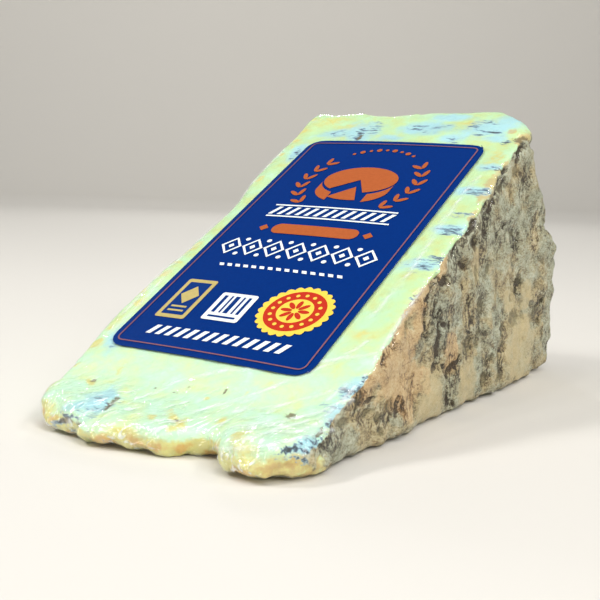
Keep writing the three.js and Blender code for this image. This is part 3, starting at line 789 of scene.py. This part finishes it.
# Creases on the upper face, as lines of x, y points with a height. The film is lifted along them, and
# lines of diffuse white are painted along them, partly milky film and partly painted highlights.
creases = [
    (0.14, [(3.5, -43.7), (9.4, -39.8), (16.0, -34.4), (20.1, -30.2), (22.5, -26.0)]),
    (0.10, [(-4.4, -39.3), (2.8, -35.4), (14.5, -32.1), (25.0, -28.3)]),
    (0.16, [(12.0, -44.8), (17.0, -43.2), (22.4, -40.2), (25.6, -37.0)]),
    (0.16, [(13.0, -46.6), (18.5, -45.0), (23.2, -42.2)]),
    (0.14, [(11.0, -48.2), (16.5, -47.2), (21.5, -45.0), (25.5, -42.4)]),
    (0.12, [(10.0, -42.2), (16.0, -40.0), (22.0, -36.2)]),
    (0.16, [(14.4, -44.6), (16.4, -42.6)]), (0.16, [(17.6, -44.4), (21.6, -41.8)]),
    (0.14, [(18.8, -44.4), (21.6, -43.6)]),
    (0.12, [(25.3, -27.0), (25.1, -21.0), (25.3, -14.0)]),
    (0.16, [(23.4, -41.6), (24.4, -38.4), (25.0, -34.8)]), (0.16, [(24.4, -41.0), (25.4, -37.4)]),
    (0.14, [(22.4, -37.6), (23.8, -34.4)]),
    (0.10, [(-22.7, -31.0), (-22.4, -22.0), (-23.1, -12.0), (-23.0, 2.0), (-23.4, 14.0)]),
    (0.08, [(-23.8, -26.0), (-24.1, -10.0), (-24.3, 8.0), (-23.6, 24.0)]),
    (0.10, [(20.4, -21.0), (21.6, -10.0), (21.2, 3.0), (22.0, 16.0)]),
]


def lineDistance(points, u, v):
    nearest = 1e9
    for (u0, v0), (u1, v1) in zip(points, points[1:]):
        du, dv = u1 - u0, v1 - v0
        share = min(max(((u - u0) * du + (v - v0) * dv) / (du * du + dv * dv), 0.0), 1.0)
        nearest = min(nearest, math.hypot(u - u0 - share * du, v - v0 - share * dv))
    return nearest


def wrapFilm(bm):
    relax(bm, film["smoothed"])
    layers = {name: bm.verts.layers.float.new(name) for name in ("gathered", "foldMilkAndPaintedGlint", "clinging")}
    puckerHeight, puckerLength, puckerSlice = film["pucker"]
    width = film["creaseWidth"]
    for vert in bm.verts:
        spot = vert.co / mm
        inside = underFaces(spot)
        nose = blend("filmNose", spot.y)
        nearEdge = film["edgePucker"] * blend("filmEdge", sorted(inside.values())[1])
        pucker = puckerHeight * abs(wave(spot, puckerLength, puckerSlice))
        lift = film["lift"] + waves(spot, [film["ripple"]]) + max(nose, nearEdge) * pucker
        fold = 0.0
        if inside["slope"] < cheese["markReach"]:
            x, y = pressed(spot, inside)
            for height, points in creases:
                away = lineDistance(points, x, y)
                if away < film["creaseReach"] * width:
                    fold = max(fold, math.exp(-(away / width) ** 2))
                    lift += height * fold
        onRind = blend("filmOnRind", vert.normal.x)
        atEdge = nearEdge * blend("filmUp", spot.z) * blend("filmPatchy", wave(spot, 5, 33))
        # The fold share sets where white lines are painted on the film: painted highlights, partly milky
        # film
        vert[layers["foldMilkAndPaintedGlint"]] = fold
        vert[layers["clinging"]] = onRind
        vert[layers["gathered"]] = max(nose, atEdge) * (1 - film["flatOnRind"] * onRind)
        vert.co += vert.normal * max(lift, film["least"]) * mm
        vert.co.z = max(vert.co.z, film["least"] * mm)
    bm.normal_update()


def filmMaterial():
    # Cling film, blown and stretched by hand: clear and glossy, almost flat where it is pulled
    # tight, with sharp glints. Where it gathers and along its creases it has thin lines of diffuse white,
    # partly milky film lying double and partly painted highlights.
    material, tree = newMaterial("stretchedClingFilm")
    place = addNode(tree, "TexCoord").outputs["Object"]
    gathered = addNode(tree, "Attribute", attribute_name="gathered").outputs["Fac"]
    pulled = addNode(tree, "Mapping", {
        "Vector": place, "Rotation": (0.0, -0.45, math.radians(58)), "Scale": (4.5, 1.0, 1.2),
    }, vector_type="TEXTURE").outputs[0]
    crinkle = addNode(tree, "TexNoise", {
        "Vector": pulled, "Scale": 1 / (1.1 * mm), "Detail": 2, "Roughness": 0.5, "Distortion": 0.4,
    }).outputs["Fac"]
    amount = addNode(tree, "MapRange", {0: gathered, 1: 0.0, 2: 1.0, 3: 0.1, 4: 1.0}).outputs[0]
    height = addNode(tree, "Math", {0: crinkle, 1: amount}, operation="MULTIPLY").outputs[0]
    bump = addNode(tree, "Bump", {"Height": height, "Strength": 1.0, "Distance": 0.8 * mm}).outputs[0]
    sheen = addNode(tree, "Fresnel", {"IOR": 1.5}).outputs[0]
    sheen = addNode(tree, "Math", {0: sheen, 1: 0.14}, operation="MINIMUM").outputs[0]
    sheen = addNode(tree, "Math", {0: gathered, 1: 0.05, 2: sheen}, operation="MULTIPLY_ADD").outputs[0]
    clinging = addNode(tree, "Attribute", attribute_name="clinging").outputs["Fac"]
    loose = addNode(tree, "MapRange", {0: clinging, 1: 0.0, 2: 1.0, 3: 1.0, 4: 0.3}).outputs[0]
    sheen = addNode(tree, "Math", {0: sheen, 1: loose}, operation="MULTIPLY").outputs[0]
    gloss = addNode(tree, "BsdfGlossy", {"Color": (1, 1, 1, 1), "Roughness": 0.07, "Normal": bump})
    clear = addNode(tree, "BsdfTransparent", {"Color": (0.985, 0.99, 0.985, 1)})
    milkAndPaintedGlint = addNode(tree, "BsdfDiffuse", {"Color": linear("#f2f8f6")})
    foldMilkAndPaintedGlint = addNode(tree, "Attribute", attribute_name="foldMilkAndPaintedGlint").outputs["Fac"]
    ridges = addNode(
        tree, "MapRange", {0: crinkle, 1: 0.56, 2: 0.68}, interpolation_type="SMOOTHSTEP"
    ).outputs[0]
    ridges = addNode(tree, "Math", {0: ridges, 1: gathered}, operation="MULTIPLY").outputs[0]
    broken = addNode(tree, "MapRange", {0: crinkle, 1: 0.35, 2: 0.6, 3: 0.25, 4: 0.9}).outputs[0]
    foldMilkAndPaintedGlint = addNode(tree, "Math", {0: foldMilkAndPaintedGlint, 1: broken}, operation="MULTIPLY").outputs[0]
    foldsAndPaintedGlints = addNode(tree, "Math", {0: ridges, 1: foldMilkAndPaintedGlint}, operation="MAXIMUM").outputs[0]
    # Share of diffuse white on ridges and creases: painted highlight streaks, partly milky film lying
    # double
    haze = addNode(tree, "MapRange", {0: foldsAndPaintedGlints, 1: 0.0, 2: 1.0, 3: 0.02, 4: 0.55}).outputs[0]
    body = addNode(tree, "MixShader", {0: haze, 1: clear.outputs[0], 2: milkAndPaintedGlint.outputs[0]})
    mixed = addNode(tree, "MixShader", {0: sheen, 1: body.outputs[0], 2: gloss.outputs[0]})
    addNode(tree, "OutputMaterial", {"Surface": mixed.outputs[0]})
    return material


def makeFilm(bm):
    wrapFilm(bm)
    piece = newPiece("film", bm)
    piece.data.shade_smooth()
    piece.data.materials.append(filmMaterial())
    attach(piece, "root")
    print("film made,", len(piece.data.polygons), "faces")


# Label: coated paper with generic print, on the upper cut face

label = {
    "width": 38.7,  # mm
    "height": 70.0,
    "cornerX": -21.85,  # its near left corner
    "cornerUp": 22.1,  # along the slope from the thin edge
    "turn": -2.44,  # degrees
    "cornerRadius": 2.0,
    "thickness": 0.16,
    "sunk": 0.3,  # its top lies this far under the CAD label's top
    "facet": 1.6,
    "ink": 0.025,
    "above": 8.0,  # mm over the slope, from where it is laid down
    "nearest": 0.6,
}
labelTree = BVHTree.FromBMesh(cadCopy("label"))


def onLabel(across, up, lift):
    turn = math.radians(label["turn"])
    x = label["cornerX"] + math.cos(turn) * across - math.sin(turn) * up
    far = label["cornerUp"] + math.sin(turn) * across + math.cos(turn) * up
    over = (apex + Vector((x, 0, 0)) + slopeUp * far + slopeNormal * label["above"]) * mm
    hit = labelTree.ray_cast(over, -slopeNormal)[0]
    if hit is None:
        hit = labelTree.find_nearest(over - slopeNormal * (label["above"] - label["nearest"]) * mm)[0]
    return hit + slopeNormal * (lift - label["sunk"]) * mm


# Cuts flat shapes into facets and bends them to the label
def layDown(bm, lift, facet):
    for direction, size in (((1, 0, 0), label["width"]), ((0, 1, 0), label["height"])):
        for step in range(1, int(size / facet) + 1):
            at = Vector(direction) * step * facet
            parts = bm.verts[:] + bm.edges[:] + bm.faces[:]
            bmesh.ops.bisect_plane(bm, geom=parts, dist=1e-5, plane_co=at, plane_no=direction)
    bmesh.ops.triangulate(bm, faces=bm.faces)
    for vert in bm.verts:
        vert.co = onLabel(vert.co.x, vert.co.y, lift)
    bm.normal_update()


def roundedPanel(bm, left, low, right, high, radius, turn=0.0):
    middle = Vector(((left + right) / 2, (low + high) / 2, 0))
    place = (
        Matrix.Translation(middle) @ Matrix.Rotation(math.radians(turn), 4, "Z")
        @ Matrix.Diagonal((right - left, high - low, 1, 1))
    )
    made = bmesh.ops.create_grid(bm, x_segments=1, y_segments=1, size=0.5, matrix=place)
    if radius:
        bmesh.ops.bevel(
            bm, geom=made["verts"], offset=radius, segments=6, profile=0.5, affect="VERTICES", material=-1
        )


def disc(bm, x, y, radius, sides=32, flat=1.0, turn=0.0):
    place = (
        Matrix.Translation((x, y, 0)) @ Matrix.Rotation(math.radians(turn), 4, "Z")
        @ Matrix.Diagonal((1, flat, 1, 1))
    )
    return bmesh.ops.create_circle(bm, cap_ends=True, segments=sides, radius=radius, matrix=place)["verts"]


def bar(bm, x, y, width, height, turn=0.0, slant=0.0):
    place = (
        Matrix.Translation((x, y, 0)) @ Matrix.Rotation(math.radians(turn), 4, "Z")
        @ Matrix.Shear("XZ", 4, (slant, 0)) @ Matrix.Diagonal((width, height, 1, 1))
    )
    bmesh.ops.create_grid(bm, x_segments=1, y_segments=1, size=0.5, matrix=place)


# Part of a disc, between two angles counted from the right
def sector(bm, x, y, radius, first, last, flat=1.0):
    place = Matrix.Translation((x, y, 0)) @ Matrix.Diagonal((1, flat, 1, 1))
    fan = bmesh.ops.create_circle(
        bm, cap_ends=True, cap_tris=True, segments=72, radius=radius, matrix=place
    )
    unwanted = []
    for face in {face for vert in fan["verts"] for face in vert.link_faces}:
        away = face.calc_center_median() - Vector((x, y, 0))
        if not first < math.degrees(math.atan2(away.y / flat, away.x)) % 360 < last:
            unwanted.append(face)
    bmesh.ops.delete(bm, geom=unwanted, context="FACES")


# Leaves only a rim of the flat faces
def hollowed(bm, faces, rim):
    bmesh.ops.inset_individual(bm, faces=faces, thickness=rim)
    bmesh.ops.delete(bm, geom=faces, context="FACES")


# Where the print lies, in mm from the label's near left corner, and its sizes
middle = label["width"] / 2
design = {
    "borderInset": 1.15,
    "borderRadius": 1.3,
    "borderWidth": 0.26,
    "plaque": (10.5, 34.9, 28.2, 38.0, 1.5),  # left, low, right, high, corner radius
    "plaqueEnds": (8.6, 30.1),
    "plaqueEndRadius": 1.0,
    "ladderRails": (40.5, 44.3),
    "ladderWidth": 25.6,
    "railHeight": 0.4,
    "barPanel": (13.2, 9.0, 20.4, 16.4, 0.5),
    "bars": ((14.4, 0.7), (15.7, 0.4), (16.8, 0.9), (18.1, 0.4), (19.2, 0.6)),  # x and width
    "barsY": 13.3,
    "barsHeight": 4.6,
    "barsFoot": (16.8, 10.0, 5.4, 0.5),  # x, y, width and height
    "goldPanel": (4.1, 8.2, 10.3, 19.1, 0.5),
    "goldWindow": (4.9, 9.1, 9.5, 18.2, 0.25),
    "goldDiamond": (7.2, 14.6, 1.9),  # x, y and radius
    "goldLinesY": (10.2, 11.3),
    "goldLine": (3.2, 0.45),  # width and height
}
diamond = {
    "radius": 2.2,
    "tall": 1.2,  # times its width
    "rim": 0.6,
    "heart": 0.6,  # radius
    "dotsOff": 2.3,  # above and below the row
    "dotRadius": 0.48,
}
rosette = {  # a scalloped disc with a ring of dots and a flower
    "place": (28.6, 14.0),
    "radius": 6.0,
    "scallops": 24,
    "scallopHigh": 0.09,  # share of the radius
    "fieldRadius": 5.2,
    "middleRadius": 3.1,
    "dots": (16, 4.1, 0.36),  # how many, how far out and their radius
    "petals": (8, 1.6, 1.05),
    "petalFlat": 0.42,
}
wheel = {  # a flattened cheese wheel with one wedge pulled out
    "y": 54.6,
    "radius": 7.6,
    "flat": 0.62,
    "cut": (232, 288),  # degrees
    "wedge": (236, 284),
    "pulled": (0.4, -2.6),
    "sideY": 53.8,
    "sideHeight": 2.8,
    "sideGap": 3.6,
}
wreath = {
    "y": 54.0,
    "radius": 11.8,
    "leaves": 6,
    "firstTurn": -40,  # degrees
    "stepTurn": 15,
    "leafOff": 0.75,
    "leafSpread": 32,
    "leafRadius": 1.25,
    "leafFlat": 0.36,
    "dots": 9,
    "dotsRadius": 12.2,
    "dotsTurn": (58, 8),
    "dotRadii": (0.36, 0.56),  # in turn
}
rows = {  # how many, first x and step, y
    "rungs": (13, 7.6, 1.96, 42.4),
    "diamonds": (7, 5.6, 4.58, 30.0),
    "dots": (6, 7.89, 4.58, 30.0),
    "dashes": (15, 7.4, 1.7, 24.2),
    "strokes": (14, 6.7, 1.93, 4.9),
}
slanted = {  # width, height and slant
    "rungs": (0.85, 2.6, 0.5),
    "dashes": (0.95, 0.75, -0.5),
    "strokes": (1.0, 2.3, 0.45),
}


def rowSpots(name):
    count, first, step, y = rows[name]
    return [(first + step * place, y) for place in range(count)]


def slantedRow(bm, name):
    width, height, slant = slanted[name]
    for x, y in rowSpots(name):
        bar(bm, x, y, width, height, slant=slant)


def leafSpray(bm, side):
    for step in range(wreath["leaves"]):
        turn = wreath["firstTurn"] + wreath["stepTurn"] * step
        away = math.radians(turn)
        for way in (-1, 1):
            reach = wreath["radius"] - way * wreath["leafOff"]
            lean = turn + 90 + way * wreath["leafSpread"]
            disc(
                bm, middle + side * reach * math.cos(away), wreath["y"] + reach * math.sin(away),
                wreath["leafRadius"], 14, wreath["leafFlat"], lean if side > 0 else 180 - lean,
            )


def borderShapes(bm):
    inset = design["borderInset"]
    roundedPanel(
        bm, inset, inset, label["width"] - inset, label["height"] - inset, design["borderRadius"]
    )
    hollowed(bm, bm.faces[:], design["borderWidth"])


def wheelShapes(bm):
    radius, flat = wheel["radius"], wheel["flat"]
    pulledX, pulledY = wheel["pulled"]
    sector(bm, middle, wheel["y"], radius, 0, wheel["cut"][0], flat)
    sector(bm, middle, wheel["y"], radius, wheel["cut"][1], 360, flat)
    sector(bm, middle + pulledX, wheel["y"] + pulledY, radius, *wheel["wedge"], flat)
    place = Matrix.Translation((middle, wheel["sideY"], 0)) @ Matrix.Diagonal((1, flat, 1, 1))
    band = bmesh.ops.create_circle(bm, segments=72, radius=radius, matrix=place)["verts"]
    gone = [
        vert for vert in band
        if vert.co.y > wheel["sideY"] - 0.1 or abs(vert.co.x - middle) < wheel["sideGap"]
    ]
    bmesh.ops.delete(bm, geom=gone, context="VERTS")
    edges = list({edge for vert in band if vert.is_valid for edge in vert.link_edges})
    walls = bmesh.ops.extrude_edge_only(bm, edges=edges)["geom"]
    lower = [item for item in walls if isinstance(item, bmesh.types.BMVert)]
    bmesh.ops.translate(bm, verts=lower, vec=(0, -wheel["sideHeight"], 0))


def copperShapes(bm):
    wheelShapes(bm)
    leafSpray(bm, 1)
    leafSpray(bm, -1)
    firstTurn, stepTurn = wreath["dotsTurn"]
    for step in range(wreath["dots"]):
        turn = math.radians(firstTurn + stepTurn * step)
        x = middle + wreath["dotsRadius"] * math.cos(turn)
        y = wreath["y"] + wreath["dotsRadius"] * math.sin(turn)
        disc(bm, x, y, wreath["dotRadii"][step % 2], sides=12)
    left, low, right, high, radius = design["plaque"]
    roundedPanel(bm, left, low, right, high, radius)
    for x in design["plaqueEnds"]:
        disc(bm, x, (low + high) / 2, design["plaqueEndRadius"], sides=4)


def whiteShapes(bm):
    slantedRow(bm, "rungs")
    for y in design["ladderRails"]:
        bar(bm, middle, y, design["ladderWidth"], design["railHeight"])
    for x, y in rowSpots("diamonds"):
        rim = disc(bm, x, y, diamond["radius"], 4, diamond["tall"])
        hollowed(bm, list(rim[0].link_faces), diamond["rim"])
        disc(bm, x, y, diamond["heart"], 4, diamond["tall"])
    for x, y in rowSpots("dots"):
        disc(bm, x, y + diamond["dotsOff"], diamond["dotRadius"], sides=12)
        disc(bm, x, y - diamond["dotsOff"], diamond["dotRadius"], sides=12)
    slantedRow(bm, "dashes")
    roundedPanel(bm, *design["barPanel"])
    slantedRow(bm, "strokes")


def navyShapes(bm):
    roundedPanel(bm, *design["goldWindow"])
    for x, width in design["bars"]:
        bar(bm, x, design["barsY"], width, design["barsHeight"])
    bar(bm, *design["barsFoot"])


def goldShapes(bm):
    roundedPanel(bm, *design["goldPanel"])


def goldTopShapes(bm):
    x, y, radius = design["goldDiamond"]
    disc(bm, x, y, radius, sides=4, flat=1.3)
    for lineY in design["goldLinesY"]:
        bar(bm, x, lineY, *design["goldLine"])


def yellowShapes(bm):
    centre = Vector((*rosette["place"], 0))
    for vert in disc(bm, *rosette["place"], rosette["radius"], sides=120):
        out = vert.co - centre
        scallop = abs(math.sin(rosette["scallops"] / 2 * math.atan2(out.y, out.x)))
        vert.co = centre + out * (1 + rosette["scallopHigh"] * scallop)


def redShapes(bm):
    disc(bm, *rosette["place"], rosette["fieldRadius"], sides=48)


def ringOf(count, radius):
    x, y = rosette["place"]
    turns = [2 * math.pi * step / count for step in range(count)]
    return [(x + radius * math.cos(turn), y + radius * math.sin(turn), turn) for turn in turns]


def yellowTopShapes(bm):
    disc(bm, *rosette["place"], rosette["middleRadius"], sides=40)
    count, out, radius = rosette["dots"]
    for x, y, turn in ringOf(count, out):
        disc(bm, x, y, radius, sides=10)


def redTopShapes(bm):
    count, out, radius = rosette["petals"]
    for x, y, turn in ringOf(count, out):
        disc(bm, x, y, radius, 14, rosette["petalFlat"], math.degrees(turn))


# Each ink: its shapes, colour and level over the paper
inks = {
    "border": (borderShapes, "#7d5560", 1),
    "copper": (copperShapes, "#a8582f", 1),
    "white": (whiteShapes, "#dfe6e6", 1),
    "gold": (goldShapes, "#b5a468", 1),
    "yellow": (yellowShapes, "#e3c44e", 1),
    "navy": (navyShapes, "#0b2f6e", 2),
    "red": (redShapes, "#b5301f", 2),
    "gold_top": (goldTopShapes, "#b5a468", 3),
    "yellow_top": (yellowTopShapes, "#e3c44e", 3),
    "red_top": (redTopShapes, "#b5301f", 4),
}


def paperMaterial(name, colour, roughness):
    # Coated label paper, offset printed: even solid colour with a satin surface
    # and a faint long grain from the paper under it.
    material, tree = newMaterial(name)
    place = addNode(tree, "TexCoord").outputs["Object"]
    fibre = addNode(
        tree, "TexNoise", {"Vector": place, "Scale": 1 / (0.5 * mm), "Detail": 4}
    ).outputs["Fac"]
    tint = addNode(tree, "MapRange", {0: fibre, 1: 0.3, 2: 0.7, 3: 0.93, 4: 1.05}).outputs[0]
    shade = addNode(tree, "VectorMath", {0: linear(colour)[:3], 3: tint}, operation="SCALE").outputs[0]
    bump = addNode(tree, "Bump", {"Height": fibre, "Strength": 0.15, "Distance": 0.03 * mm}).outputs[0]
    shader = addNode(tree, "BsdfPrincipled", {
        "Base Color": shade, "Roughness": roughness, "IOR": 1.25, "Normal": bump,
    })
    addNode(tree, "OutputMaterial", {"Surface": shader.outputs[0]})
    return material


def makeLabel():
    bm = bmesh.new()
    roundedPanel(bm, 0, 0, label["width"], label["height"], label["cornerRadius"])
    layDown(bm, -label["thickness"] / 2, label["facet"])
    bmesh.ops.solidify(bm, geom=bm.faces[:], thickness=label["thickness"] * mm)
    bmesh.ops.recalc_face_normals(bm, faces=bm.faces)
    piece = newPiece("label_paper", bm)
    piece.data.materials.append(paperMaterial("navyCoatedPaper", "#002a6e", 0.22))
    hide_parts("label")
    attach(piece, "root")
    print("label made,", len(piece.data.polygons), "faces")


def makeInks():
    for name, (draw, colour, level) in inks.items():
        bm = bmesh.new()
        draw(bm)
        layDown(bm, label["ink"] * level, label["facet"])
        piece = newPiece("print_" + name, bm)
        piece.data.materials.append(paperMaterial(name + "Ink", colour, 0.25))
        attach(piece, "root")
    print("print made,", len(inks), "inks")


# Camera, floor and light

view = {
    "eye": (89.32, -159.70, 38.17),  # mm
    "yaw": 30.48,  # degrees
    "pitch": 6.61,
    "roll": 1.65,
    "focal": 1033.84,  # in pixels of the 600-pixel picture
    "picture": 600,
    "sensor": 36.0,
}


def makeCamera():
    data = bpy.data.cameras.new("camera")
    data.sensor_width = view["sensor"]
    data.lens = view["sensor"] * view["focal"] / view["picture"]
    data.clip_start = 0.01
    camera = bpy.data.objects.new("camera", data)
    camera.matrix_world = (
        Matrix.Translation(Vector(view["eye"]) * mm)
        @ Matrix.Rotation(math.radians(view["yaw"]), 4, "Z")
        @ Matrix.Rotation(math.radians(90 - view["pitch"]), 4, "X")
        @ Matrix.Rotation(math.radians(view["roll"]), 4, "Z")
    )
    scene.collection.objects.link(camera)
    scene.camera = camera


studio = {
    "floorRadius": 2.4,  # m
    "wallHeight": 1.2,
    "sweep": 0.8,
    "floorColour": "#d8d4cc",
    "sky": ("#f4f6f8", 0.11),
    # place and aim in m, size in m, watts
    "lamps": {
        "key": ((-0.54, -0.36, 0.63), (0, 0, 0), 0.16, 3.4),
        "over": ((0.26, -0.16, 1.06), (0, 0, 0), 0.60, 4.0),
        "fill": ((0.86, -0.46, 0.70), (0, 0, 0), 0.50, 9.0),
        "rim": ((0.50, 0.34, 0.78), (0, 0, 0), 0.14, 1.5),
        "front": ((-0.35, -1.00, 0.12), (0, 0, 0), 0.50, 3.6),
        "glint_back": ((-0.46, 0.74, 0.42), (0, 0, 0), 0.07, 0.8),
        "glint_left": ((-0.60, 0.02, 0.76), (0, 0, 0), 0.05, 0.4),
        "glint_front": ((-0.30, -0.62, 0.74), (0, 0, 0), 0.05, 0.7),
        "glint_high": ((-0.15, -0.30, 0.95), (0, 0, 0), 0.05, 0.7),
        "backdrop": ((-0.70, 0.90, 1.30), (-1.30, 2.30, 0.30), 1.00, 12.0),
    },
}


def makeStudio():
    bm = bmesh.new()
    radius, height = studio["floorRadius"], studio["wallHeight"]
    corners = [bm.verts.new((x, 0, z)) for x, z in ((0, 0), (radius, 0), (radius, height))]
    for first, second in zip(corners, corners[1:]):
        bm.edges.new((first, second))
    bmesh.ops.bevel(
        bm, geom=[corners[1]], offset=studio["sweep"], segments=16, profile=0.5,
        affect="VERTICES", material=-1,
    )
    bmesh.ops.spin(
        bm, geom=bm.verts[:] + bm.edges[:], axis=(0, 0, 1), cent=(0, 0, 0), angle=2 * math.pi,
        steps=64, use_merge=True,
    )
    bmesh.ops.remove_doubles(bm, verts=bm.verts, dist=0.1 * mm)
    bmesh.ops.recalc_face_normals(bm, faces=bm.faces)
    floor = newPiece("floor", bm)
    floor.data.shade_smooth()
    material, tree = newMaterial("paleStudioFloor")
    colour = linear(studio["floorColour"])
    shader = addNode(tree, "BsdfPrincipled", {"Base Color": colour, "Roughness": 0.7})
    addNode(tree, "OutputMaterial", {"Surface": shader.outputs[0]})
    floor.data.materials.append(material)
    colour, strength = studio["sky"]
    world = bpy.data.worlds.new("studioSky")
    world.use_nodes = True
    world.node_tree.nodes["Background"].inputs[0].default_value = linear(colour)
    world.node_tree.nodes["Background"].inputs[1].default_value = strength
    scene.world = world
    for name, (place, aim, size, watts) in studio["lamps"].items():
        data = bpy.data.lights.new(name, "AREA")
        data.size = size
        data.energy = watts
        lamp = bpy.data.objects.new(name, data)
        lamp.location = place
        lamp.rotation_mode = "QUATERNION"
        lamp.rotation_quaternion = (Vector(aim) - Vector(place)).to_track_quat("-Z", "Y")
        scene.collection.objects.link(lamp)
    scene.view_settings.view_transform = "Standard"


makeCamera()
makeStudio()
wrapped = voxelCopy("cheese_wedge", cheese["voxel"])
nearEnd, tipY = cheese["finer"]
refine(wrapped, lambda spot: spot.x > wedge["rindX"] - nearEnd or spot.y < tipY)
relax(wrapped, cheese["relaxed"])
makeCheese(wrapped)
makeFilm(wrapped)
makeLabel()
makeInks()
